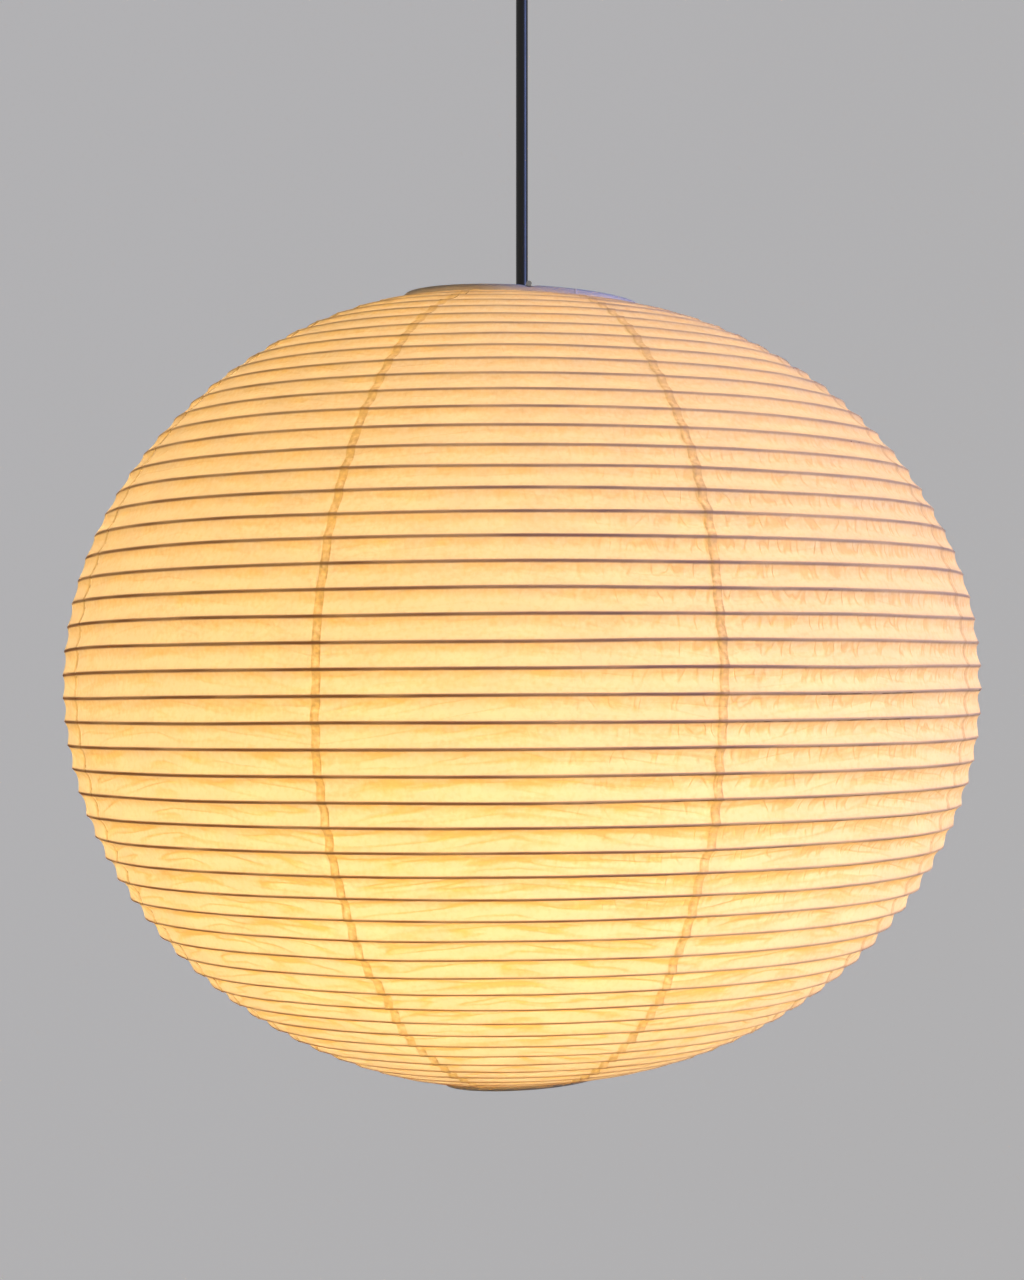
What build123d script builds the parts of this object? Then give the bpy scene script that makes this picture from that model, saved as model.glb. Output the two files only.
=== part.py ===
from build123d import *
import math
import os

# A pendant paper lantern. Eight paper gores are pasted over one long spiral of split bamboo, between
# a large top hoop and a small bottom hoop. A steel hanger and two stretcher legs hold the shade open
# round a lampholder, and the lamp flex carries everything from a cup screwed to the ceiling.
# Millimetres, +Z up. The origin is on the ceiling plane, midway between the two screw slots of the
# bracket, and the flex hangs straight down along the Z axis.

# Driving dimensions: the shade
EQUATOR_Z = -490.0  # height of the widest ring
SHADE_RADIUS = 260.0  # half the lantern's width
SHADE_HALF_HEIGHT = 228.0  # of the whole oval, before its crown and foot are cut away
TOP_RIM_Z = EQUATOR_Z + 220.0
BOTTOM_RIM_Z = EQUATOR_Z - 225.0
TOP_TILT = 2.7  # degrees, the +X side of the top hoop is the lower one
BOTTOM_TILT = -3.3  # degrees, the +X side of the bottom hoop is the higher one
GORES = 8
FIRST_SEAM = -68.4  # azimuth of one seam in degrees, from the -Y side towards +X
SEAM_GAP = 0.05  # degrees left between two gores
PAPER = 0.4  # washi, its paste and the pasted overlap, as one closed skin

# Driving dimensions: the bamboo spiral
RIB_SIDE = 1.3  # the strip is split square
RIB_PITCH = 13.2  # from turn to turn, along the meridian
RIB_START = 75.1  # along the meridian, from the crown to the first end of the spiral
RIB_HALF_TURNS = 97
RIB_CLEARANCE = 0.25

# Driving dimensions: the hoops
HOOP_THICKNESS = 2.0
HOOP_HEIGHT = 8.0
BAND_THICKNESS = 0.6
BAND_HEIGHT = 5.5
BAND_GAP = 0.05
TOP_HOOP_RADIUS = 66.4
BOTTOM_HOOP_RADIUS = 43.0
TOP_EDGE_RADIUS = 67.5  # where the paper of the gores starts
BOTTOM_EDGE_RADIUS = 44.5  # and where it ends

# Driving dimensions: the flex and its two pivots
FLEX_RADIUS = 3.4
FLEX_BORE = 3.45  # a bore that grips the flex
FLEX_POCKET = 3.75  # a bore that the flex turns in
FLARE = math.tan(math.radians(15.0))
CUP_PIVOT_Z = -82.0
EYE_Z = TOP_RIM_Z - 7.0
LAMP_PIVOT_Z = EYE_Z + 3.0
PIVOT_ROOM = 4.2  # from a pivot to the next length of flex

# Driving dimensions: the ceiling fitting
CUP_RADIUS = 50.0
CUP_WALL = 1.6
CUP_DEPTH = 62.0
CUP_CORNER = 22.0
SLOT_SPACING = 56.0
SLOT_LENGTH = 12.0
SLOT_WIDTH = 5.0
STRAP_WIDTH = 18.0
STRAP_THICKNESS = 2.0
EAR_X = 46.0
EAR_DEPTH = 15.0
SIDE_SCREW_Z = -9.0
SIDE_SCREW_RADIUS = 1.95
SIDE_SCREW_HEAD = 3.5
SIDE_SCREW_REACH = 4.0  # how far each side screw stands inside its ear
SIDE_SCREW_DOME = 2.2
SIDE_SCREW_ROOM = 0.3  # radial clearance of its hole in the cup
BLOCK_LENGTH = 24.0
BLOCK_WIDTH = 16.0
BLOCK_HEIGHT = 14.0
BLOCK_Z = -STRAP_THICKNESS - BLOCK_HEIGHT  # the underside of the terminal block
BLOCK_CORNER = 1.5
WELL_RADIUS = 2.3
WELL_DEPTH = 6.0
WELL_SPACING_X = 15.0
WELL_SPACING_Y = 8.0
SCREW_SLOT_WIDTH = 0.8
GRIP_FLANGE_RADIUS = 11.0
GRIP_FOOT_RADIUS = 7.6
GRIP_STEM_TOP = 12.0  # above the underside of the cup
NUT_RADIUS = 9.0
NUT_HEIGHT = 4.5

# Driving dimensions: the wire frame
BAR_RADIUS = 1.5
BAR_AZIMUTH = -86.7  # degrees, the near end of the hanger bar
BAR_SEAT = 1.0  # height of the bar's middle above the rim that it rests on
CRANK_START = 8.0  # inside the hoop's rim, where the bar bends down towards its eye
CRANK_END = 16.0
CRANK_BEND = 4.0
EYE_RADIUS = 8.6
LEG_RADIUS = 1.25
LEG_REACH = 39.0  # distance of each leg from the axis
RING_WIRE = 1.6  # the ring that closes round the hanger bar
RING_RADIUS = BAR_RADIUS + RING_WIRE + 0.05
FOOT_WIRE = 1.5
FOOT_ARC = 44.0  # degrees of the bottom hoop that each foot follows
FOOT_HEIGHT = 4.0

# Driving dimensions: the lampholder and the bulb
GLOBE_RADIUS = 30.0
GLOBE_Z = EQUATOR_Z - 60.0
GLOBE_WALL = 1.2
NECK_Z = GLOBE_Z + 20.0  # where the globe meets the bulb's housing
TIP_Z = GLOBE_Z + 80.0  # the bulb's upper contact
HOLDER_Z = TIP_Z + 40.0  # the top of the lampholder
HOLDER_RADIUS = 21.0
THREAD_PITCH = 3.62
THREAD_DEPTH = 0.8

os.makedirs("parts", exist_ok=True)


def save(piece, name):
    """Label a finished sub-part and write it to its own file."""
    piece.label = name
    export_step(piece, f"parts/{name}.step")
    print(f"{name:20s} {piece.volume:10.1f} mm3")


def section(points):
    """A closed profile of (radius, height) points, in the XZ plane."""
    with BuildSketch(Plane.XZ) as profile:
        with BuildLine():
            Polyline(points, close=True)
        make_face()
    return profile.sketch


def upright_plane(azimuth, height):
    """A plane through the Z axis, whose X runs outwards and whose Y runs up."""
    angle = math.radians(azimuth)
    outward = (math.cos(angle), math.sin(angle), 0)
    return Plane(origin=(0, 0, height), x_dir=outward, z_dir=(outward[1], -outward[0], 0))


def tilted_plane(height, tilt):
    """A hoop's plane: level along Y and lower on the +X side by the tilt."""
    angle = math.radians(tilt)
    return Plane(
        origin=(0, 0, height),
        x_dir=(math.cos(angle), 0, -math.sin(angle)),
        z_dir=(math.sin(angle), 0, math.cos(angle)),
    )


# ---- The ceiling fitting, which stays still

with BuildPart() as ceiling_bracket:
    with BuildSketch() as strap:
        Rectangle(2 * EAR_X, STRAP_WIDTH)
        with Locations((-SLOT_SPACING / 2, 0), (SLOT_SPACING / 2, 0)):
            SlotOverall(SLOT_LENGTH, SLOT_WIDTH, mode=Mode.SUBTRACT)
    extrude(amount=-STRAP_THICKNESS)
    with BuildSketch() as ears:
        with GridLocations(2 * EAR_X - STRAP_THICKNESS, 0, 2, 1):
            Rectangle(STRAP_THICKNESS, STRAP_WIDTH)
    extrude(amount=-EAR_DEPTH)
    with BuildSketch(Plane.YZ) as ear_hole:
        with Locations((0, SIDE_SCREW_Z)):
            Circle(SIDE_SCREW_RADIUS + BAND_GAP)
    extrude(amount=CUP_RADIUS, both=True, mode=Mode.SUBTRACT)
    bends = ceiling_bracket.edges().filter_by(Axis.Y).group_by(Axis.Z)[-1]
    fillet(bends, radius=STRAP_THICKNESS * 0.9)
save(ceiling_bracket.part, "ceiling_bracket")

with BuildPart() as ceiling_cup:
    inner = CUP_RADIUS - CUP_WALL
    stem_hole = 5.2
    with BuildSketch(Plane.XZ) as wall:
        with BuildLine():
            FilletPolyline(
                (CUP_RADIUS, 0), (CUP_RADIUS, -CUP_DEPTH), (stem_hole, -CUP_DEPTH), radius=CUP_CORNER
            )
            Line((stem_hole, -CUP_DEPTH), (stem_hole, CUP_WALL - CUP_DEPTH))
            FilletPolyline(
                (stem_hole, CUP_WALL - CUP_DEPTH),
                (inner, CUP_WALL - CUP_DEPTH),
                (inner, 0),
                radius=CUP_CORNER - CUP_WALL,
            )
            Line((inner, 0), (CUP_RADIUS, 0))
        make_face()
    revolve()
    with BuildSketch(Plane.YZ) as screw_hole:
        with Locations((0, SIDE_SCREW_Z)):
            Circle(SIDE_SCREW_RADIUS + SIDE_SCREW_ROOM)
    extrude(amount=2 * CUP_RADIUS, both=True, mode=Mode.SUBTRACT)
save(ceiling_cup.part, "ceiling_cup")

with BuildPart() as cup_screws:
    head = CUP_RADIUS + 2 * BAND_GAP
    screw_axis = Axis((0, 0, SIDE_SCREW_Z), (1, 0, 0))
    with BuildSketch(Plane.XZ) as half_screw:
        with BuildLine():
            Polyline(
                (head + SIDE_SCREW_DOME, SIDE_SCREW_Z),
                (head + 0.8 * SIDE_SCREW_DOME, SIDE_SCREW_Z + 0.6 * SIDE_SCREW_HEAD),
                (head + 0.3 * SIDE_SCREW_DOME, SIDE_SCREW_Z + SIDE_SCREW_HEAD),
                (head, SIDE_SCREW_Z + SIDE_SCREW_HEAD),
                (head, SIDE_SCREW_Z + SIDE_SCREW_RADIUS),
                (EAR_X - SIDE_SCREW_REACH, SIDE_SCREW_Z + SIDE_SCREW_RADIUS),
                (EAR_X - SIDE_SCREW_REACH, SIDE_SCREW_Z),
                close=True,
            )
        make_face()
    revolve(axis=screw_axis)
    with BuildSketch(Plane.XY.offset(SIDE_SCREW_Z)) as driver_slot:
        with Locations((head + SIDE_SCREW_DOME, 0)):
            Rectangle(0.9 * SIDE_SCREW_DOME, SCREW_SLOT_WIDTH)
    extrude(amount=SIDE_SCREW_HEAD, both=True, mode=Mode.SUBTRACT)
    mirror(about=Plane.YZ)
save(cup_screws.part, "cup_screws")

with BuildPart() as cup_cord_grip:
    mouth_depth = 8.0
    mouth_z = CUP_PIVOT_Z - mouth_depth
    tail_z = CUP_PIVOT_Z + PIVOT_ROOM
    stem = stem_hole - 2 * BAND_GAP
    flange_z = -CUP_DEPTH - BAND_GAP
    revolve(
        section(
            [
                (FLEX_BORE, GRIP_STEM_TOP - CUP_DEPTH),
                (stem, GRIP_STEM_TOP - CUP_DEPTH),
                (stem, flange_z),
                (GRIP_FLANGE_RADIUS, flange_z),
                (GRIP_FLANGE_RADIUS, flange_z - 2.5),
                (GRIP_FLANGE_RADIUS - 1.8, flange_z - 4.5),
                (GRIP_FOOT_RADIUS, mouth_z),
                (FLEX_POCKET + mouth_depth * FLARE, mouth_z),
                (FLEX_POCKET, CUP_PIVOT_Z),
                (FLEX_POCKET, tail_z),
                (FLEX_BORE, tail_z),
            ]
        )
    )
save(cup_cord_grip.part, "cup_cord_grip")

with BuildPart() as grip_nut:
    with BuildSketch(Plane.XY.offset(CUP_WALL - CUP_DEPTH + BAND_GAP)) as hexagon:
        RegularPolygon(radius=NUT_RADIUS, side_count=6)
        Circle(stem + BAND_GAP, mode=Mode.SUBTRACT)
    extrude(amount=NUT_HEIGHT)
save(grip_nut.part, "grip_nut")

with BuildPart() as cord_tail:
    with BuildSketch(Plane.XY.offset(tail_z)) as tail_end:
        Circle(FLEX_RADIUS)
    extrude(amount=BLOCK_Z - tail_z)
save(cord_tail.part, "cord_tail")

wells = GridLocations(WELL_SPACING_X, WELL_SPACING_Y, 2, 2)
screw_inset = 1.0  # from the well's mouth to the screw's head

with BuildPart() as terminal_block:
    with BuildSketch(Plane.XY.offset(BLOCK_Z)) as block_end:
        RectangleRounded(BLOCK_LENGTH, BLOCK_WIDTH, BLOCK_CORNER)
    extrude(amount=BLOCK_HEIGHT)
    with BuildSketch(Plane.XY.offset(BLOCK_Z)) as well_mouths:
        with wells:
            Circle(WELL_RADIUS)
    extrude(amount=WELL_DEPTH, mode=Mode.SUBTRACT)
save(terminal_block.part, "terminal_block")

with BuildPart() as terminal_screws:
    with BuildSketch(Plane.XY.offset(BLOCK_Z + screw_inset)) as screw_ends:
        with wells:
            Circle(WELL_RADIUS - 2 * BAND_GAP)
    extrude(amount=WELL_DEPTH - screw_inset)
    with BuildSketch(Plane.XY.offset(BLOCK_Z + screw_inset)) as driver_slots:
        with wells:
            Rectangle(SCREW_SLOT_WIDTH, 2 * WELL_RADIUS)
    extrude(amount=screw_inset, mode=Mode.SUBTRACT)
save(terminal_screws.part, "terminal_screws")

# ---- The flex between the two pivots. Each end is a ball that turns in a flared pocket.

with BuildPart() as cord_upper:
    with BuildSketch(Plane.XY.offset(LAMP_PIVOT_Z)) as flex_end:
        Circle(FLEX_RADIUS)
    extrude(amount=CUP_PIVOT_Z - LAMP_PIVOT_Z)
    with Locations((0, 0, CUP_PIVOT_Z), (0, 0, LAMP_PIVOT_Z)):
        Sphere(FLEX_RADIUS)
save(cord_upper.part, "cord_upper")

# ---- What hangs on the flex: the lock that carries the shade, and the lampholder

lower_flex_z = LAMP_PIVOT_Z - PIVOT_ROOM
neck_radius = 6.5
lock_radius = 11.0
lock_height = 4.0
lock_mouth = 5.0
eye_room = 0.4  # between the hanger's eye and what holds it above and below
shoulder_z = EYE_Z - BAR_RADIUS - eye_room
nut_z = EYE_Z + BAR_RADIUS + eye_room
lock_top_z = LAMP_PIVOT_Z + lock_mouth

with BuildPart() as cord_lock:
    revolve(
        section(
            [
                (FLEX_BORE, shoulder_z - lock_height),
                (lock_radius - 1, shoulder_z - lock_height),
                (lock_radius, shoulder_z - lock_height + 1),
                (lock_radius, shoulder_z),
                (neck_radius, shoulder_z),
                (neck_radius, lock_top_z),
                (FLEX_POCKET + lock_mouth * FLARE, lock_top_z),
                (FLEX_POCKET, LAMP_PIVOT_Z),
                (FLEX_POCKET, lower_flex_z),
                (FLEX_BORE, lower_flex_z),
            ]
        )
    )
save(cord_lock.part, "cord_lock")

with BuildPart() as cord_lock_nut:
    with BuildSketch(Plane.XY.offset(nut_z)) as grip_ring:
        RegularPolygon(radius=lock_radius, side_count=12)
        Circle(neck_radius + BAND_GAP, mode=Mode.SUBTRACT)
    extrude(amount=lock_mouth)
save(cord_lock_nut.part, "cord_lock_nut")

cap_wall = 1.6
cap_collar = 8.0  # radius of the cap's collar round the flex
cap_collar_foot = HOLDER_Z - 7
cap_shoulder = HOLDER_Z - 9
cap_roof_z = HOLDER_Z - 10

with BuildPart() as cord_lower:
    with BuildSketch(Plane.XY.offset(cap_roof_z)) as lower_end:
        Circle(FLEX_RADIUS)
    extrude(amount=lower_flex_z - cap_roof_z)
save(cord_lower.part, "cord_lower")

insert_top_z = cap_roof_z - 4
insert_foot_z = TIP_Z + 2
split_z = HOLDER_Z - 25
sleeve_foot_z = TIP_Z - 28
insert_bore = 2.5
insert_head = 12.0
contact_radius = 7.0

with BuildPart() as lampholder_cap:
    inner = HOLDER_RADIUS - cap_wall
    with BuildSketch(Plane.XZ) as dome:
        with BuildLine():
            FilletPolyline(
                (cap_collar, HOLDER_Z),
                (cap_collar, cap_collar_foot),
                (HOLDER_RADIUS, cap_shoulder),
                (HOLDER_RADIUS, split_z),
                radius=[3, 6],
            )
            Polyline(
                (HOLDER_RADIUS, split_z),
                (inner, split_z),
                (inner, cap_roof_z - 6),
                (inner - 6, cap_roof_z - 1),
                (FLEX_BORE, cap_roof_z),
                (FLEX_BORE, HOLDER_Z),
                (cap_collar, HOLDER_Z),
            )
        make_face()
    revolve()
save(lampholder_cap.part, "lampholder_cap")

with BuildPart() as lampholder_insert:
    revolve(
        section(
            [
                (insert_bore, insert_top_z),
                (insert_head - 2, insert_top_z),
                (insert_head, insert_top_z - 2),
                (insert_head, split_z),
                (inner - 6 * BAND_GAP, split_z),
                (inner - 6 * BAND_GAP, insert_foot_z),
                (insert_bore, insert_foot_z),
            ]
        )
    )
save(lampholder_insert.part, "lampholder_insert")

with BuildPart() as lampholder_contact:
    revolve(
        section(
            [
                (0, insert_foot_z - BAND_GAP),
                (contact_radius, insert_foot_z - BAND_GAP),
                (contact_radius, insert_foot_z - 0.6),
                (3, TIP_Z + 0.4),
                (0, TIP_Z + 0.4),
            ]
        )
    )
save(lampholder_contact.part, "lampholder_contact")


def thread_wave(crest, top, turns, outward):
    """The zigzag of a rolled lamp thread, from its top crest downwards."""
    root = crest - THREAD_DEPTH if outward else crest + THREAD_DEPTH
    points = []
    for half_turn in range(2 * turns + 1):
        radius = crest if half_turn % 2 == 0 else root
        points.append((radius, top - half_turn * THREAD_PITCH / 2))
    return points


SHELL_CREST = 13.6  # the narrowest inside of the lampholder's thread
CAP_CREST = 13.1  # the widest outside of the bulb's thread, 0.5 clear of it

with BuildPart() as thread_shell:
    shell_wave = thread_wave(SHELL_CREST, insert_foot_z - 3, 5, outward=False)
    outside = SHELL_CREST + THREAD_DEPTH + 0.5
    flange_top = insert_foot_z - BAND_GAP
    revolve(
        section(
            [(SHELL_CREST, flange_top)]
            + shell_wave
            + [(outside, shell_wave[-1][1]), (outside, flange_top)]
        )
    )
save(thread_shell.part, "thread_shell")

with BuildPart() as lampholder_sleeve:
    revolve(
        section(
            [
                (inner, split_z - BAND_GAP),
                (HOLDER_RADIUS, split_z - BAND_GAP),
                (HOLDER_RADIUS, sleeve_foot_z + 4),
                (HOLDER_RADIUS + 1, sleeve_foot_z + 3),
                (HOLDER_RADIUS + 1, sleeve_foot_z),
                (inner, sleeve_foot_z),
            ]
        )
    )
save(lampholder_sleeve.part, "lampholder_sleeve")

# ---- The bulb, which leaves through the bottom hoop

cap_top_z = TIP_Z - 5
cap_turns = 5
cap_foot_z = NECK_Z + 33
cap_inside = 11.6
contact_foot_z = TIP_Z - 1.5
contact_rim = 4.5
insulator_rim = 9.5

with BuildPart() as bulb_contact:
    revolve(
        section(
            [
                (0, TIP_Z),
                (contact_rim - 1.5, TIP_Z),
                (contact_rim, TIP_Z - 0.8),
                (contact_rim, contact_foot_z),
                (0, contact_foot_z),
            ]
        )
    )
save(bulb_contact.part, "bulb_contact")

with BuildPart() as bulb_insulator:
    revolve(
        section(
            [
                (0, contact_foot_z),
                (contact_rim + 0.5, contact_foot_z),
                (insulator_rim, cap_top_z + 0.5),
                (insulator_rim, cap_top_z),
                (0, cap_top_z),
            ]
        )
    )
save(bulb_insulator.part, "bulb_insulator")

with BuildPart() as bulb_cap:
    cap_wave = thread_wave(CAP_CREST, cap_top_z - 1.5, cap_turns, outward=True)
    revolve(
        section(
            [(0, cap_top_z), (insulator_rim + 0.5, cap_top_z)]
            + cap_wave
            + [(CAP_CREST, cap_foot_z), (cap_inside, cap_foot_z)]
            + [(cap_inside, cap_top_z - 2), (0, cap_top_z - 2)]
        )
    )
save(bulb_cap.part, "bulb_cap")

globe_neck = math.sqrt(GLOBE_RADIUS**2 - (GLOBE_Z - NECK_Z) ** 2)

with BuildPart() as bulb_housing:
    foot = globe_neck - 0.2
    foot_inside = foot - 2
    waist_z = NECK_Z + 16
    waist = 15.6
    with BuildSketch(Plane.XZ) as housing_wall:
        with BuildLine():
            ThreePointArc((CAP_CREST, cap_foot_z), (waist, waist_z), (foot, NECK_Z))
            Line((foot, NECK_Z), (foot_inside, NECK_Z))
            ThreePointArc((foot_inside, NECK_Z), (waist - 1.8, waist_z), (cap_inside, cap_foot_z))
            Line((cap_inside, cap_foot_z), (CAP_CREST, cap_foot_z))
        make_face()
    revolve()
save(bulb_housing.part, "bulb_housing")

with BuildPart() as bulb_led_board:
    board_z = NECK_Z - 1.5
    chip_height = 0.8
    chip_side = 3.0
    with BuildSketch(Plane.XY.offset(board_z)) as board:
        Circle(globe_neck - 3)
    extrude(amount=1.4)
    with BuildSketch(Plane.XY.offset(board_z - chip_height)) as chips:
        with PolarLocations(12, 10):
            Rectangle(chip_side, chip_side)
    extrude(amount=chip_height)
save(bulb_led_board.part, "bulb_led_board")

with BuildPart() as bulb_globe:
    with Locations((0, 0, GLOBE_Z)):
        Sphere(GLOBE_RADIUS)
        Sphere(GLOBE_RADIUS - GLOBE_WALL, mode=Mode.SUBTRACT)
    split(bisect_by=Plane.XY.offset(NECK_Z - BAND_GAP), keep=Keep.BOTTOM)
save(bulb_globe.part, "bulb_globe")

# ---- The wire frame of the shade

with BuildPart() as hanger_bar:
    with BuildLine(upright_plane(BAR_AZIMUTH, TOP_RIM_Z)) as crank:
        FilletPolyline(
            (TOP_HOOP_RADIUS + 1, BAR_SEAT),
            (TOP_HOOP_RADIUS - CRANK_START, BAR_SEAT),
            (TOP_HOOP_RADIUS - CRANK_END, EYE_Z - TOP_RIM_Z),
            (EYE_RADIUS, EYE_Z - TOP_RIM_Z),
            radius=CRANK_BEND,
        )
    with BuildSketch(Plane(origin=crank.line @ 0, z_dir=crank.line % 0)) as bar_end:
        Circle(BAR_RADIUS)
    sweep()
    add(hanger_bar.part.rotate(Axis.Z, 180))
    with Locations((0, 0, EYE_Z)):
        Torus(EYE_RADIUS, BAR_RADIUS)
save(hanger_bar.part, "hanger_bar")


def stretcher_leg(side):
    """A straight wire from a ring on the hanger bar to a foot that follows the bottom hoop."""
    angle = math.radians(BAR_AZIMUTH)
    along = Vector(math.cos(angle), math.sin(angle), 0) * side
    top = along * LEG_REACH + Vector(0, 0, EYE_Z)
    foot_z = BOTTOM_RIM_Z + FOOT_HEIGHT
    with BuildPart() as leg:
        with BuildSketch(Plane(origin=(top.X, top.Y, foot_z), z_dir=(0, 0, 1))):
            Circle(LEG_RADIUS)
        extrude(amount=EYE_Z - RING_RADIUS - foot_z)
        with Locations(Plane(origin=top, z_dir=along)):
            Torus(RING_RADIUS, RING_WIRE)
        start = BAR_AZIMUTH + (0 if side > 0 else 180) - FOOT_ARC / 2
        foot_plane = upright_plane(start, foot_z)
        with BuildSketch(foot_plane):
            with Locations((LEG_REACH, 0)):
                Circle(FOOT_WIRE)
        revolve(revolution_arc=FOOT_ARC)
    return leg.part


save(stretcher_leg(1), "stretcher_leg_near")
save(stretcher_leg(-1), "stretcher_leg_far")

# ---- The hoops and their paper trim


def hoop(plane, outside, thickness, height):
    """A strip bent into a ring, on one side of its plane: below it if height is negative."""
    with BuildPart() as ring:
        with BuildSketch(plane):
            Circle(outside)
            Circle(outside - thickness, mode=Mode.SUBTRACT)
        extrude(amount=height)
    return ring.part


def seated(ring):
    """The same ring with two grooves in its rim, where the hanger bar rests."""
    bar_line = upright_plane(BAR_AZIMUTH, TOP_RIM_Z + BAR_SEAT).x_dir
    with BuildPart() as grooved:
        add(ring)
        with BuildSketch(Plane(origin=(0, 0, TOP_RIM_Z + BAR_SEAT), z_dir=bar_line)):
            Circle(BAR_RADIUS + BAND_GAP)
        extrude(amount=2 * TOP_HOOP_RADIUS, both=True, mode=Mode.SUBTRACT)
    return grooved.part


top_plane = tilted_plane(TOP_RIM_Z, TOP_TILT)
bottom_plane = tilted_plane(BOTTOM_RIM_Z, BOTTOM_TILT)
top_band_radius = TOP_HOOP_RADIUS + BAND_GAP + BAND_THICKNESS
bottom_band_radius = BOTTOM_HOOP_RADIUS + BAND_GAP + BAND_THICKNESS

save(seated(hoop(top_plane, TOP_HOOP_RADIUS, HOOP_THICKNESS, -HOOP_HEIGHT)), "top_hoop")
save(seated(hoop(top_plane, top_band_radius, BAND_THICKNESS, -BAND_HEIGHT)), "top_trim_band")
save(hoop(bottom_plane, BOTTOM_HOOP_RADIUS, HOOP_THICKNESS, HOOP_HEIGHT), "bottom_hoop")
save(hoop(bottom_plane, bottom_band_radius, BAND_THICKNESS, BAND_HEIGHT), "bottom_trim_band")

# ---- The paper gores

seam_step = 360 / GORES


def paper_gore(index):
    """One eighth of the oval skin, between the two hoops."""
    start = FIRST_SEAM - 90 + index * seam_step + SEAM_GAP / 2
    low = -SHADE_HALF_HEIGHT - 1
    high = SHADE_HALF_HEIGHT + 1
    with BuildPart() as gore:
        with BuildSketch(upright_plane(start, EQUATOR_Z)):
            Ellipse(SHADE_RADIUS, SHADE_HALF_HEIGHT)
            Ellipse(SHADE_RADIUS - PAPER, SHADE_HALF_HEIGHT - PAPER, mode=Mode.SUBTRACT)
            with BuildLine():
                Polyline(
                    (TOP_EDGE_RADIUS, high),
                    (SHADE_RADIUS + 1, high),
                    (SHADE_RADIUS + 1, low),
                    (BOTTOM_EDGE_RADIUS, low),
                    (BOTTOM_EDGE_RADIUS, 0),
                    (TOP_EDGE_RADIUS, 0),
                    close=True,
                )
            make_face(mode=Mode.INTERSECT)
        revolve(revolution_arc=seam_step - SEAM_GAP)
    return gore.part


for number in range(GORES):
    save(paper_gore(number), f"paper_gore_{number + 1}")

# ---- The bamboo spiral, a chain of half rings. Each half ring spans the lantern from a point on its
# +X side to one on its -X side half a pitch lower, and meets the next with the same tangent.

MERIDIAN_STEPS = 7200


def meridian_points(distances, inset):
    """Radius and height of points at the given distances from the crown, along the shade's section."""
    wide = SHADE_RADIUS - inset
    tall = SHADE_HALF_HEIGHT - inset
    step = math.pi / MERIDIAN_STEPS
    found = []
    travelled = 0.0
    for index in range(MERIDIAN_STEPS):
        middle = (index + 0.5) * step
        travelled += step * math.hypot(wide * math.cos(middle), tall * math.sin(middle))
        while len(found) < len(distances) and travelled >= distances[len(found)]:
            angle = (index + 1) * step
            found.append((wide * math.sin(angle), EQUATOR_Z + tall * math.cos(angle)))
    return found


rib_distances = [RIB_START + index * RIB_PITCH / 2 for index in range(RIB_HALF_TURNS + 1)]
rib_points = []
rib_inset = PAPER + RIB_CLEARANCE + RIB_SIDE * math.sqrt(0.5)
for index, (radius, height) in enumerate(meridian_points(rib_distances, rib_inset)):
    side = -1 if index % 2 == 0 else 1
    rib_points.append(Vector(side * radius, 0, height))

with BuildPart() as bamboo_rib:
    with BuildLine() as spiral:
        for index in range(RIB_HALF_TURNS):
            first = rib_points[index]
            last = rib_points[index + 1]
            side = 1 if index % 2 == 0 else -1
            crown = (first + last) * 0.5 + Vector(0, side * (last - first).length / 2, 0)
            ThreePointArc(first, crown, last)
    with BuildSketch(Plane(origin=rib_points[0], x_dir=(1, 0, 0), z_dir=(0, 1, 0))) as rib_end:
        Rectangle(RIB_SIDE, RIB_SIDE)
    sweep(path=spiral.wires()[0])
save(bamboo_rib.part, "bamboo_rib")

rib_length = spiral.wires()[0].length
print(f"bamboo spiral {rib_length:.0f} mm long, section {RIB_SIDE**2 * rib_length:.0f} mm3")
print(f"flex between the pivots {CUP_PIVOT_Z - LAMP_PIVOT_Z:.0f} mm, straight, no bends")
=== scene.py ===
# %% [markdown]
# # A paper lantern on its flex
#
# A pendant paper lantern is a skin of eight paper gores, pasted over one long spiral of split bamboo.
# The bamboo gives the fine horizontal lines. The paper between two turns sags a little, and that gives
# the scalloped edge. Nearly all the light comes from the bulb inside, so most of what the eye sees is
# light that came through the paper: its thickness, its laps, its creases and the bamboo's shadow.
#
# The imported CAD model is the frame. It has every part at its real size. This script keeps the rigid
# parts and gives them finishes, and it builds the soft parts anew: paper, trim, bamboo strip and flex.

import math

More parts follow.
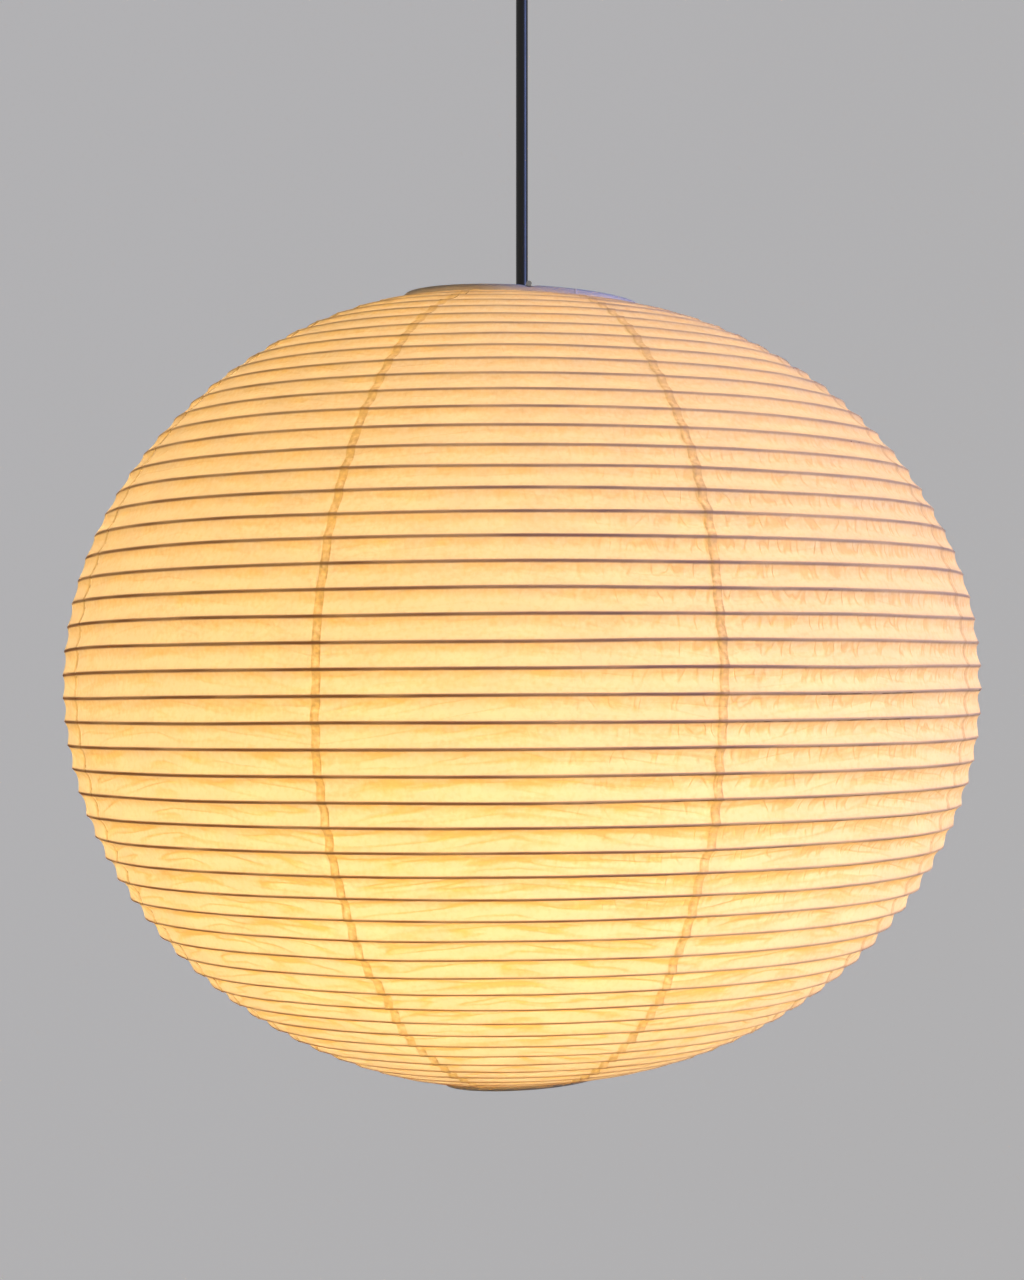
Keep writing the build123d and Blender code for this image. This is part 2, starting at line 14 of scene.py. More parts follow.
import bpy
import numpy as np
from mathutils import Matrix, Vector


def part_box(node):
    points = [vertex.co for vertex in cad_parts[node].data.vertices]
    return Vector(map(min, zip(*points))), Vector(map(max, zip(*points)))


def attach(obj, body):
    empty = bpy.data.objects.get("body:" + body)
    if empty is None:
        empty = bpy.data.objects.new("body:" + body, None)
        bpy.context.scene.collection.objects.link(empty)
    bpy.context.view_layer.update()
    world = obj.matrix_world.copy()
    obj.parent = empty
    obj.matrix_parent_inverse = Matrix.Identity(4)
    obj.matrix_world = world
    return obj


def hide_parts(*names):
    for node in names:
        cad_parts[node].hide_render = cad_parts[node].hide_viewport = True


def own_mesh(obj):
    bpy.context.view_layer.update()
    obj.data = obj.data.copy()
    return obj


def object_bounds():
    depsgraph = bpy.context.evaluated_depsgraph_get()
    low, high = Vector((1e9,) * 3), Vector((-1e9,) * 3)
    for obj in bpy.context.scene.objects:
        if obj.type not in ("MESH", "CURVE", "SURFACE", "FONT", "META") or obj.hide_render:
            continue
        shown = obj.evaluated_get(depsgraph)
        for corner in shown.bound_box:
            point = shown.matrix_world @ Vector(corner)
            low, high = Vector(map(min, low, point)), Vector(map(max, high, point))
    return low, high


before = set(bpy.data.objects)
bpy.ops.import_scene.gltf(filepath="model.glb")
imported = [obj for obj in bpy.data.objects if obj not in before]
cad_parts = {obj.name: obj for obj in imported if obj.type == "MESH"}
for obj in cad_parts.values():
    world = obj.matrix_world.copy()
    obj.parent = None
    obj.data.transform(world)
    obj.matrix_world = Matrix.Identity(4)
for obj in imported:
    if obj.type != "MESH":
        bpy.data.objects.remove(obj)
cad_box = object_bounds()
print("CAD box (m):", [tuple(round(value, 4) for value in corner) for corner in cad_box])

# %% [markdown]
# ## The camera
#
# It stands level with the shade's widest ring, a metre and a half away, with a long lens, and looks up
# by about one degree. A long lens keeps the round shade round.

# %% Camera
MM = 0.001
EQUATOR_Z = -490 * MM  # the shade's widest ring
CAMERA_DISTANCE = 1.56
AIM_LEFT, AIM_UP = 5.7 * MM, 25.9 * MM  # where the lens points, from the middle of the shade

lens = bpy.data.cameras.new("camera")
lens.lens = 76.5
lens.clip_start = 0.05
camera = bpy.data.objects.new("camera", lens)
bpy.context.collection.objects.link(camera)
camera.location = (0, -CAMERA_DISTANCE, EQUATOR_Z)
aim = np.array([-AIM_LEFT, 0.0, EQUATOR_Z + AIM_UP])
toward = aim - np.array(camera.location)
upward_angle = math.atan2(toward[2], toward[1])
leftward_angle = math.atan2(-toward[0], toward[1])
camera.rotation_euler = (math.pi / 2 + upward_angle, 0, leftward_angle)
bpy.context.scene.camera = camera
print("camera:", round(float(np.linalg.norm(toward)), 3), "m from the lantern's axis")

# %% [markdown]
# ## The flex
#
# The flex is round PVC cable with two cores, 6.8 mm thick. It is pulled straight by the lantern's
# weight, so each length is a straight NURBS curve with a round bevel. One length shows between the
# ceiling cup and the cord lock; one goes on down to the lampholder, and a tail rises into the cup.
# The ends are hidden in their fittings, and rounded so that they clear the bore when the lantern swings.

# %% Flex
FLEX_DIAMETER = 6.8 * MM
FLEX_LEAD = 6 * FLEX_DIAMETER  # from each end of a length to where its plain stretch begins
END_STEPS = (0, 1.0 * MM, 3.4 * MM)  # points of the rounded end
END_SHARES = (0.4, 0.85, 1.0)  # and how thick it is at each


def flex_length(name, top, bottom, body, node):
    """A straight length of flex between two heights on the axis."""
    lead = min(FLEX_LEAD, (top - bottom) / 3)
    curve = bpy.data.curves.new(name, "CURVE")
    curve.dimensions = "3D"
    curve.bevel_depth = 1.0  # times each point's radius
    curve.bevel_resolution = 8
    curve.use_fill_caps = True
    curve.resolution_u = 8
    spline = curve.splines.new("NURBS")
    drops = (*END_STEPS, lead)
    heights = [top - drop for drop in drops] + [bottom + drop for drop in reversed(drops)]
    shares = (*END_SHARES, 1.0, 1.0, *reversed(END_SHARES))
    spline.points.add(len(heights) - 1)
    for point, height, share in zip(spline.points, heights, shares):
        point.co = (0, 0, height, 1)
        point.radius = FLEX_DIAMETER / 2 * share
    spline.order_u = 3
    spline.use_endpoint_u = True
    piece = bpy.data.objects.new(name, curve)
    bpy.context.collection.objects.link(piece)
    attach(piece, body)
    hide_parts(node)
    print(f"{name}: {(top - bottom) / MM:.0f} mm")
    return piece


flexes = []
for name, body, node in (
    ("flex_upper", "cord", "cord_upper"),
    ("flex_lower", "lampholder", "cord_lower"),
    ("flex_tail", "ceiling", "cord_tail"),
):
    low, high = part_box(node)
    flexes.append(flex_length(name, high.z, low.z, body, node))

# %% [markdown]
# ## The shade as a formula
#
# The paper, the bamboo and the seams all lie on one surface: an oval turned about the Z axis. A point
# on it is named by two numbers. One is its distance from the crown, measured along the paper. The
# other is its azimuth, in degrees from the front towards +X. Paper is cut and bamboo is wound by
# distance along the surface, so this keeps the turns an even 13.2 mm apart all the way down.

# %% Section of the shade
SHADE_RADIUS = round(cad_box[1].x, 4)  # the shade is the widest thing in the model
SHADE_HALF_HEIGHT = 228 * MM
HOOP_EDGE = 67.0 * MM  # radius where the paper meets the top hoop
FOOT_EDGE = 43.5 * MM  # and the bottom hoop

section_angle = np.linspace(0, math.pi, 20001)
speed = np.hypot(SHADE_RADIUS * np.cos(section_angle), SHADE_HALF_HEIGHT * np.sin(section_angle))
travelled = np.concatenate([[0], np.cumsum((speed[1:] + speed[:-1]) / 2 * np.diff(section_angle))])
TOP_EDGE = np.interp(math.asin(HOOP_EDGE / SHADE_RADIUS), section_angle, travelled)
BOTTOM_EDGE = np.interp(math.pi - math.asin(FOOT_EDGE / SHADE_RADIUS), section_angle, travelled)
PAPER_RUN = BOTTOM_EDGE - TOP_EDGE
print(f"shade {2 * SHADE_RADIUS / MM:.0f} mm wide, paper {PAPER_RUN / MM:.0f} mm from hoop to hoop")


def smooth(value):
    """An S curve from 0 to 1."""
    clipped = np.clip(value, 0, 1)
    return clipped * clipped * (3 - 2 * clipped)


def zone(value, start, full):
    """0 on the near side of start, 1 beyond full, and an S curve between them."""
    return smooth((value - start) / (full - start))


# %% Points of the shade
TOP_TILT, BOTTOM_TILT = math.radians(2.7), math.radians(3.3)  # towards +X one hoop drops, the other rises
NECK_DROP, NECK_REACH = 3.4 * MM, 23 * MM  # the paper dips where it is gathered to the top hoop
FOOT_LIFT, FOOT_REACH = 2.3 * MM, 20 * MM  # and rises where it is gathered to the bottom hoop


def section_radius(distance):
    """Distance from the axis, at a distance from the crown."""
    return SHADE_RADIUS * np.sin(np.interp(distance, travelled, section_angle))


def shade_point(distance, azimuth, inset):
    """Points of the shade, inset along the surface normal. The hoops sit tilted, and the skin follows.

    Beyond either edge the paper turns up or down along the hoop that it is pasted to."""
    held = np.clip(distance, TOP_EDGE, BOTTOM_EDGE)
    angle = np.interp(held, travelled, section_angle)
    outward = np.sin(angle) / SHADE_RADIUS
    upward = np.cos(angle) / SHADE_HALF_HEIGHT
    length = np.hypot(outward, upward)
    radius = SHADE_RADIUS * np.sin(angle) - inset * outward / length
    height = EQUATOR_Z + SHADE_HALF_HEIGHT * np.cos(angle) - inset * upward / length
    share = (held - TOP_EDGE) / PAPER_RUN
    top_lean = -HOOP_EDGE * math.tan(TOP_TILT)
    bottom_lean = FOOT_EDGE * math.tan(BOTTOM_TILT)
    around = np.radians(azimuth)
    height = height + (top_lean + (bottom_lean - top_lean) * share) * np.sin(around)
    height = height - NECK_DROP * np.exp((TOP_EDGE - held) / NECK_REACH)
    height = height + FOOT_LIFT * np.exp((held - BOTTOM_EDGE) / FOOT_REACH) + (held - distance)
    return np.stack([radius * np.sin(around), -radius * np.cos(around), height + 0 * radius], axis=-1)


print(f"top hoop's rim at z {shade_point(TOP_EDGE, 90, 0)[2]:.3f} m on the right")

# %% [markdown]
# ## Handmade unevenness
#
# Nothing on a handmade lantern is exact. A small table of random numbers, blended smoothly between its
# entries, gives waves of any size over the skin. Each use has its own seed, so every run is the same.

# %% Seeded waves over the skin
AROUND = 2 * math.pi * SHADE_RADIUS
TABLE_REACH = 1.0  # metres down the skin, a little more than there are


def waves(azimuth, distance, wide, long, seed):
    """Smooth noise from -1 to 1. Its cells are wide by long metres at the widest ring."""
    columns = max(3, round(AROUND / wide))
    rows = int(TABLE_REACH / long) + 3
    table = np.random.default_rng(seed).uniform(-1, 1, (columns, rows))
    across = np.asarray(azimuth) / 360 % 1 * columns
    down = np.clip(np.asarray(distance) / long, 0, rows - 2)
    left, above = np.floor(across).astype(int), np.floor(down).astype(int)
    x, y = smooth(across - left), smooth(down - above)
    left, right = left % columns, (left + 1) % columns
    upper = table[left, above] * (1 - x) + table[right, above] * x
    lower = table[left, above + 1] * (1 - x) + table[right, above + 1] * x
    return upper * (1 - y) + lower * y


def mesh_piece(name, points, faces):
    """A mesh object with smooth shading, from rows of points and of corner numbers."""
    mesh = bpy.data.meshes.new(name)
    mesh.from_pydata(points, [], faces)
    mesh.validate()
    mesh.shade_smooth()
    piece = bpy.data.objects.new(name, mesh)
    bpy.context.collection.objects.link(piece)
    return piece


def grid_faces(rows, columns, closed=False):
    """Corner numbers of the quads of a grid. A closed grid joins its last column to its first."""
    across = np.arange(columns if closed else columns - 1)
    here = (np.arange(rows - 1)[:, None] * columns + across).ravel()
    beside = (np.arange(rows - 1)[:, None] * columns + (across + 1) % columns).ravel()
    return np.stack([here, here + columns, beside + columns, beside], axis=1)


# %% [markdown]
# ## The bamboo spiral
#
# The real strip is bamboo split to about 1.3 mm and wound as one continuous spiral of nearly 49 turns.
# It could be a curve with a bevel, but the paper has to touch it along its whole length, so both are
# made from the same formula: the strip's distance from the crown grows by one pitch for each turn.

# %% Bamboo strip
RIB_PITCH = 13.2 * MM
RIB_ORIGIN = 375.4 * MM  # where a turn crosses the front of the shade
RIB_DRIFT = 0.55 * MM  # how far a turn strays from its even place
FIRST_TURN, LAST_TURN = -23, 26
FIRST_END = -90  # azimuth of the strip's upper end
HALF_TURNS = 97
RIB_WIDTH = 1.35 * MM
RIB_UNEVEN = 0.12  # share by which the strip is thicker or thinner
RIB_INSET = 0.3 * MM + RIB_WIDTH / 2
RIB_STEPS = 144  # in each turn
RIB_SIDES = 8


def turn_distance(turn, azimuth):
    """Distance from the crown to a turn of the spiral. The strip sinks one pitch in a full turn leftwards."""
    even = RIB_ORIGIN + RIB_PITCH * (turn - azimuth / 360)
    drift = waves(azimuth, even, 90 * MM, RIB_PITCH, seed=11)
    return even + RIB_DRIFT * drift


def bamboo_spiral():
    """The strip as one closed tube from its first end to its last."""
    azimuth = np.linspace(FIRST_END, FIRST_END - 180 * HALF_TURNS, HALF_TURNS * RIB_STEPS // 2 + 1)
    distance = turn_distance(FIRST_TURN, azimuth)
    corner = np.radians((np.arange(RIB_SIDES) + 0.5) * 360 / RIB_SIDES)
    uneven = 1 + RIB_UNEVEN * waves(azimuth, distance, 25 * MM, RIB_PITCH, seed=12)
    half = RIB_WIDTH / 2 * uneven
    sideways = distance[:, None] + half[:, None] * np.cos(corner)
    deep = RIB_INSET + half[:, None] * np.sin(corner)
    points = shade_point(sideways, azimuth[:, None] + 0 * deep, deep).reshape(-1, 3)
    faces = grid_faces(len(azimuth), RIB_SIDES, closed=True).tolist()
    final = len(points) - RIB_SIDES
    faces.append(list(range(RIB_SIDES)))
    faces.append([final + side for side in reversed(range(RIB_SIDES))])
    return mesh_piece("bamboo_spiral", points.tolist(), faces)


rib = bamboo_spiral()
# The dark line over each turn is a painted shadow in the paper's finish, not a shadow the strip casts.
rib.visible_shadow = False  # the paper's own finish draws the dark line over each turn
print("bamboo spiral:", len(rib.data.vertices), "points")

# %% [markdown]
# ## The paper gores
#
# Each gore is one thin sheet, so each is one layer of faces: a second layer 0.1 mm away would only stop
# the light. Its columns run from seam to seam and its rows follow the spiral, with one row on each turn
# of bamboo and ten between. Between two turns the paper sags inwards, deeper towards the foot, where it
# is slack. The right side has short puckers across each band, and the lower half has long slanting
# creases. The last 5 mm of each gore is the lap that is pasted over the next one.

# %% How the paper lies between two turns
SAG, SAG_LOW, SAG_RIGHT = 1.25 * MM, 1.05 * MM, 0.45 * MM  # everywhere, and more of it low and at the right
SAG_UNEVEN = 0.22
PUCKER, PUCKER_PLEATED, PUCKER_LOW = 0.12 * MM, 0.4 * MM, 0.15 * MM
HOOP_HOLD = 12 * MM  # nearer to a hoop than this, the paper is pulled flat


def paper_form(distance, azimuth, share):
    """How far the paper lies inside the ribs' surface, and how creased and how pleated it is.

    The share is how far down a point lies from one turn of bamboo to the next."""
    right = zone(np.sin(np.radians(azimuth)), -0.1, 0.6)
    low = zone(distance, 330 * MM, 550 * MM)
    pleated = right * zone(distance, 200 * MM, 320 * MM) * zone(distance, 560 * MM, 460 * MM)
    held = zone(distance, TOP_EDGE, TOP_EDGE + HOOP_HOLD)
    held = held * zone(distance, BOTTOM_EDGE, BOTTOM_EDGE - HOOP_HOLD)
    hollow = np.sin(math.pi * share ** 0.76) * held  # deepest a little above the middle
    depth = SAG + SAG_LOW * low + SAG_RIGHT * right
    depth = depth * (1 + SAG_UNEVEN * waves(azimuth, distance, 60 * MM, 30 * MM, seed=21))
    pucker = waves(azimuth, distance, 14 * MM, RIB_PITCH, seed=22)
    inset = hollow * (depth + (PUCKER + PUCKER_PLEATED * pleated + PUCKER_LOW * low) * pucker)
    creases = hollow * (0.22 + 0.78 * low)
    hem = hollow * zone(share, 0.72, 0.42) * (0.12 + 0.88 * pleated)
    return inset, creases, hem


# %% Where a gore begins and ends
GORES = 8
SEAM_STEP = 360 / GORES
FIRST_SEAM = -68.4
SEAM_WANDER, SEAM_NICK = 1.6 * MM, 0.45 * MM
LAP = 5.0 * MM
LAP_SHARES = (0.06, 0.5, 1.0)  # columns of the lap
LAP_START = 0.92  # a gore's faces begin this far into its neighbour's lap, so that light meets one layer
HOOP_TAB = 2.4 * MM  # paper that turns along each hoop
GORE_COLUMNS = 72
ROW_SHARES = (0, 0.035, 0.09, 0.18, 0.29, 0.41, 0.54, 0.67, 0.80, 0.91, 0.965)  # down from each turn


def gore_middle(number):
    """Azimuth of a gore's middle line."""
    return FIRST_SEAM + (number + 0.5) * SEAM_STEP


def seam_azimuth(number, distance):
    """A seam wanders by a millimetre or so about its straight line."""
    wander = waves(number * SEAM_STEP, distance, 200 * MM, 38 * MM, seed=31)
    nick = waves(number * SEAM_STEP, distance, 200 * MM, 7 * MM, seed=32)
    offset = SEAM_WANDER * wander + SEAM_NICK * nick
    return FIRST_SEAM + number * SEAM_STEP + np.degrees(offset / section_radius(distance))


def gore_lattice(number):
    """The turn above, the share, the azimuth and the distance from the crown, at each point of a gore."""
    turns = np.arange(FIRST_TURN - 2, LAST_TURN + 3)
    turn = np.repeat(turns, len(ROW_SHARES))[:, None]
    share = np.tile(ROW_SHARES, len(turns))[:, None]
    rough = np.clip(turn_distance(turn + share, gore_middle(number)), TOP_EDGE, BOTTOM_EDGE)
    lap_angle = np.degrees(LAP / section_radius(rough))
    left = seam_azimuth(number, rough) + LAP_START * lap_angle
    right = seam_azimuth((number + 1) % GORES, rough) + (360 if number == GORES - 1 else 0)
    sheet = left + (right - left) * np.linspace(0, 1, GORE_COLUMNS)
    azimuth = np.concatenate([sheet, right + lap_angle * np.array(LAP_SHARES)], axis=1)
    distance = turn_distance(turn, azimuth)
    distance = distance + (turn_distance(turn + 1, azimuth) - distance) * share
    distance = np.clip(distance, TOP_EDGE - HOOP_TAB, BOTTOM_EDGE + HOOP_TAB)
    return turn, share + 0 * azimuth, azimuth, distance


print("gores:", GORES, "of", SEAM_STEP, "degrees, the first seam at", FIRST_SEAM)

# %% [markdown]
# ## Marks for the finish
#
# The paper's finish has to know where the bamboo, the laps and the folds are. The mesh tells it: each
# point carries a few named numbers. The painted shadow over a turn of bamboo is one of them, because
# the strip casts none here. It is made fainter near the top and on the right, where the lines of this
# lantern look weaker; on the right the fading is painted room light. The painted shade just below each
# turn is another.

# %% Cut and hang the gores
LAP_HEIGHT = 0.25 * MM
LAP_DENSITY = (1.0, 0.65, 1.0)  # paste squeezes out along both edges
PASTE_SHARE = 0.04  # the paper is pasted to the bamboo this near to a turn
# Strength of the painted shadow over the bamboo: faint at the top, growing lower down, lifted on the right.
RIB_FAINT, RIB_GROWS, RIB_SHADOW_LIT_RIGHT = 0.45, 0.6, 0.4
CREASE_FALL = 0.13  # the long creases fall away from the middle of a gore


def painted_rib_shadow(turn, share, azimuth, distance):
    """How dark the painted shadow over a turn of bamboo is, and 0 where the paper isn't pasted to one."""
    pasted = (share < PASTE_SHARE) | (share > 1 - PASTE_SHARE)
    pasted = pasted & (turn >= FIRST_TURN) & (turn <= LAST_TURN + 1)
    uneven = 1 + 0.25 * waves(azimuth, distance, 22 * MM, RIB_PITCH, seed=26)
    strength = RIB_FAINT + RIB_GROWS * zone(distance, 80 * MM, 400 * MM)
    # On the right the painted shadow is lifted, as painted room light.
    strength = strength * (1 - RIB_SHADOW_LIT_RIGHT * zone(np.sin(np.radians(azimuth)), 0.1, 0.8))
    return pasted * uneven * strength


def paper_gore(number):
    """One gore, as rows of points from the top hoop to the bottom hoop, with its marks."""
    turn, share, azimuth, distance = gore_lattice(number)
    density = np.zeros_like(azimuth)
    density[:, GORE_COLUMNS:] = LAP_DENSITY
    inset, creases, hem = paper_form(distance, azimuth, share)
    points = shade_point(distance, azimuth, inset - LAP_HEIGHT * (density > 0)).reshape(-1, 3)
    piece = mesh_piece(f"washi_gore_{number + 1}", points.tolist(), grid_faces(*azimuth.shape).tolist())
    marks = {
        "rib": painted_rib_shadow(turn, share, azimuth, distance),
        "lap": density,
        "creases": creases,
        "hem": hem,
        # Painted shade in the upper part of each band, just below a turn of bamboo.
        "shade_under_rib": zone(share, 0.5, 0.2) * (inset > 0),
        "down": distance,
    }
    for label, values in marks.items():
        piece.data.attributes.new(label, "FLOAT", "POINT").data.foreach_set("value", values.ravel())
    arc = np.radians(azimuth) * SHADE_RADIUS
    aside = np.abs(np.radians(azimuth - gore_middle(number))) * section_radius(distance)
    lie = np.stack([arc, distance - CREASE_FALL * aside, distance], axis=-1)
    piece.data.attributes.new("lie", "FLOAT_VECTOR", "POINT").data.foreach_set("vector", lie.ravel())
    return piece


gores = [paper_gore(number) for number in range(GORES)]
print("gores:", len(gores), "of", len(gores[0].data.polygons), "faces")

# %% [markdown]
# ## The trim bands
#
# A strip of plain white paper is folded over the rim of each hoop and hides the paper's raw edge. It is
# several sheets thick, so no light comes through it. Its two ends overlap, and the top layer makes a
# small step. The band is a folded outline carried once round the hoop and a little further, like a ribbon.

# %% A folded strip round a hoop
BAND_STEPS = 300
BAND_OVERLAP = 14  # degrees by which the ends of a strip overlap
STRIP = 0.35 * MM
STEP_FADES = 40  # degrees over which the lapped end comes down to the hoop
CUT_WAVE, CUT_JAG, DENT = 0.30 * MM, 0.12 * MM, 0.12 * MM
NOTCH_DEPTH, NOTCH_ANGLE = 1.1 * MM, 2.2  # where the hanger bar presses the fold down
EDGE_DEPTH = 2 * MM  # deeper than this, a point of the outline is at one of the strip's two long edges


def trim_band(name, rim_z, tilt, side, profile, start, notches=()):
    """A folded strip. Profile points are (radius, distance into the shade from the rim).

    The rim is level along Y and drops towards +X by the tilt. The side is 1 if the shade is above."""
    azimuth = np.linspace(start, start + 360 + BAND_OVERLAP, BAND_STEPS)
    row = rim_z + 1  # each band reads its own row of the waves
    lift = STRIP * zone(azimuth, start + STEP_FADES, start)  # the first end lies on top of the last
    edge = CUT_WAVE * waves(azimuth, row, 60 * MM, 0.5, seed=41)
    edge = edge + CUT_JAG * waves(azimuth, row, 14 * MM, 0.5, seed=42)
    dent = DENT * waves(azimuth, row, 30 * MM, 0.5, seed=43)
    sink = np.zeros_like(azimuth)
    for notch in notches:
        away = (azimuth - notch + 180) % 360 - 180
        sink += NOTCH_DEPTH * np.exp(-(away / NOTCH_ANGLE) ** 2)
    radius, depth = np.array(profile).T
    cut = depth > EDGE_DEPTH
    around = np.radians(azimuth)[:, None]
    far = radius + (lift + dent)[:, None]
    into = depth + edge[:, None] * cut + sink[:, None] * ~cut
    height = rim_z + side * into - math.tan(tilt) * far * np.sin(around)
    points = np.stack([far * np.sin(around), -far * np.cos(around), height], axis=-1)
    corners = len(profile)
    faces = grid_faces(BAND_STEPS, corners, closed=True).tolist()
    final = (BAND_STEPS - 1) * corners
    faces += [list(reversed(range(corners))), [final + corner for corner in range(corners)]]
    return mesh_piece(name, points.reshape(-1, 3).tolist(), faces)


# %% Trim bands
BEND = 0.5 * MM
BULGE = 0.05 * MM


def folded_strip(outside, inside, visible, hidden):
    """The outline of a strip folded over a rim: down the outside, over the rim and down the inside."""
    return [
        (outside, visible),
        (outside + BULGE, visible / 2),
        (outside, BEND),
        (outside - BEND, 0),
        (inside + BEND, 0),
        (inside, BEND),
        (inside, hidden),
        (inside + STRIP, hidden),
        (inside + STRIP, BEND + STRIP),
        (outside - STRIP, BEND + STRIP),
        (outside - STRIP, visible),
    ]


TOP_RIM_Z, BOTTOM_RIM_Z = EQUATOR_Z + 220 * MM, EQUATOR_Z - 225 * MM
TOP_JOIN, BOTTOM_JOIN = 25.7, 68  # azimuth where each strip begins
HANGER_ENDS = (3.3, 183.3)
hoop_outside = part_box("top_hoop")[1].y
foot_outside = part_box("bottom_hoop")[1].y
top_fold = folded_strip(
    outside=hoop_outside + 1.35 * MM, inside=hoop_outside - 2.5 * MM, visible=4.3 * MM, hidden=3.2 * MM)
bottom_fold = folded_strip(
    outside=foot_outside + 1.15 * MM, inside=foot_outside - 2.5 * MM, visible=2.3 * MM, hidden=3.0 * MM)
top_trim = trim_band("top_trim", TOP_RIM_Z + STRIP, TOP_TILT, -1, top_fold, TOP_JOIN, HANGER_ENDS)
bottom_trim = trim_band("bottom_trim", BOTTOM_RIM_Z - STRIP, -BOTTOM_TILT, 1, bottom_fold, BOTTOM_JOIN)
print("trim bands:", len(top_trim.data.vertices) + len(bottom_trim.data.vertices), "points")

# %% [markdown]
# ## Materials
#
# Every finish is a graph of nodes, because then its pattern has a real size and runs through the whole
# part. Colours are written as the hex values that a screen shows, and turned into linear light once.

# %% Helpers for materials
def linear(code):
    """A linear colour from an sRGB hex value such as "e8d4a8"."""
    parts = [int(code[place:place + 2], 16) / 255 for place in (0, 2, 4)]
    light = [part / 12.92 if part <= 0.04045 else ((part + 0.055) / 1.055) ** 2.4 for part in parts]
    return (*light, 1.0)


def add(tree, kind, inputs=(), **settings):
    """Add a node, set its options, and link or fill its inputs.

    A node that is given as an input is linked by its first output."""
    made = tree.nodes.new(kind)
    for name, value in settings.items():
        setattr(made, name, value)
    for name, value in dict(inputs).items():
        if isinstance(value, bpy.types.Node):
            value = next(socket for socket in value.outputs if socket.enabled)
        if isinstance(value, bpy.types.NodeSocket):
            tree.links.new(value, made.inputs[name])
        else:
            made.inputs[name].default_value = value
    return made


def blank(name):
    """A new material, its empty graph, and the place of each point, in metres fixed to the piece."""
    material = bpy.data.materials.new(name)
    material.use_nodes = True
    tree = material.node_tree
    tree.nodes.clear()
    return material, tree, add(tree, "ShaderNodeTexCoord").outputs["Object"]


def cover(pieces, material):
    """Give pieces, or CAD nodes by name, one material."""
    for piece in pieces:
        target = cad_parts[piece] if isinstance(piece, str) else piece
        target.data.materials.clear()
        target.data.materials.append(material)
    print(f"{material.name}: {len(pieces)} piece(s)")


def per_metre(size):
    """The scale of a noise whose features are about this size, for coordinates in metres."""
    return 1 / size


# %% [markdown]
# ## Washi
#
# The skin is washi, paper made by hand from mulberry bark. Its fibres are long, so the sheet is strong
# at a tenth of a millimetre, and light comes through it softly and warm. A little under half of the
# shader reflects, as matt paper does, and the rest lets light through. Light that has a longer way
# through the paper comes out deeper in colour, as in knots of fibre and where two gores lap. Just
# below each turn of bamboo and in the folds the deeper colour is painted shade. Over the bamboo a
# painted shadow lets hardly any light through, and the glow is painted weaker towards the foot.
# Real fibres are 20 microns wide, too fine to show, so they are drawn about ten times as coarse.

# %% Folds in the paper
CREASE_LENGTH, CREASE_SPACING, CREASE_WIDTH = 70 * MM, 8 * MM, 0.07  # a width is in the noise's own value
PLEAT_LENGTH, PLEAT_SPACING, PLEAT_WIDTH = 24 * MM, 11 * MM, 0.05


def thin_lines(tree, noise, width):
    """Thin lines where a noise passes its middle value: 1 on the line, 0 beside it."""
    signed = add(tree, "ShaderNodeMath", {0: noise, 1: 0.5}, operation="SUBTRACT")
    away = add(tree, "ShaderNodeMath", {0: signed}, operation="ABSOLUTE")
    return add(tree, "ShaderNodeMapRange", {
        "Value": away, "From Min": 0.0, "From Max": width, "To Min": 1.0, "To Max": 0.0})


def folds(tree, marks):
    """Long creases and short pleats, where the mesh has marks for them."""
    lie = add(tree, "ShaderNodeAttribute", attribute_name="lie").outputs["Vector"]
    long_way = add(tree, "ShaderNodeMapping", {
        "Vector": lie, "Scale": (per_metre(CREASE_LENGTH), per_metre(CREASE_SPACING), 0.0)})
    crease = add(tree, "ShaderNodeTexNoise", {"Vector": long_way, "Scale": 1.0, "Detail": 1.5})
    creased = add(tree, "ShaderNodeMath", {
        0: thin_lines(tree, crease, CREASE_WIDTH), 1: marks["creases"]}, operation="MULTIPLY")
    short_way = add(tree, "ShaderNodeMapping", {
        "Vector": lie, "Scale": (per_metre(PLEAT_SPACING), 0.0, per_metre(PLEAT_LENGTH))})
    pleat = add(tree, "ShaderNodeTexNoise", {
        "Vector": short_way, "Scale": 1.0, "Detail": 1.5, "Distortion": 0.4})
    return add(tree, "ShaderNodeMath", {
        0: thin_lines(tree, pleat, PLEAT_WIDTH), 1: marks["hem"], 2: creased}, operation="MULTIPLY_ADD")


# %% How deep the colour is, and how much light comes through
# Painted shade: the colour is deeper below each turn of bamboo and in the folds and pleats.
SHADE_BELOW_RIB, SHADE_IN_FOLDS, LONGER_IN_LAPS = 0.8, 1.15, 0.85
FIBRE_WIDTH = 0.012
LAP_STOPS, FIBRE_STOPS = 0.30, 0.05  # share of the light
# The glow is painted weaker towards the foot, a painted shade.
DIMS_FROM, DIMS_TO, PAINTED_FOOT_SHARE = 400 * MM, 740 * MM, 0.5  # towards the foot, by distance from the crown


def depth_and_painted_shade(tree, marks, cloud, floc, folded):
    """0 where light has a short way through the paper, 1 where it has a long one. Below each turn of bamboo
    and in the folds it adds painted shade.
    """
    cloudy = add(tree, "ShaderNodeMath", {0: cloud, 1: 1.6, 2: -0.25}, operation="MULTIPLY_ADD")
    # painted shade just below each turn, with a cloudy edge
    below = add(tree, "ShaderNodeMath", {0: cloudy, 1: marks["shade_under_rib"]}, operation="MULTIPLY")
    longer = add(tree, "ShaderNodeMath", {0: floc, 1: 1.5, 2: -0.72}, operation="MULTIPLY_ADD")
    for where, more in ((below, SHADE_BELOW_RIB), (folded, SHADE_IN_FOLDS), (marks["lap"], LONGER_IN_LAPS)):
        longer = add(tree, "ShaderNodeMath", {0: where, 1: more, 2: longer}, operation="MULTIPLY_ADD")
    return longer


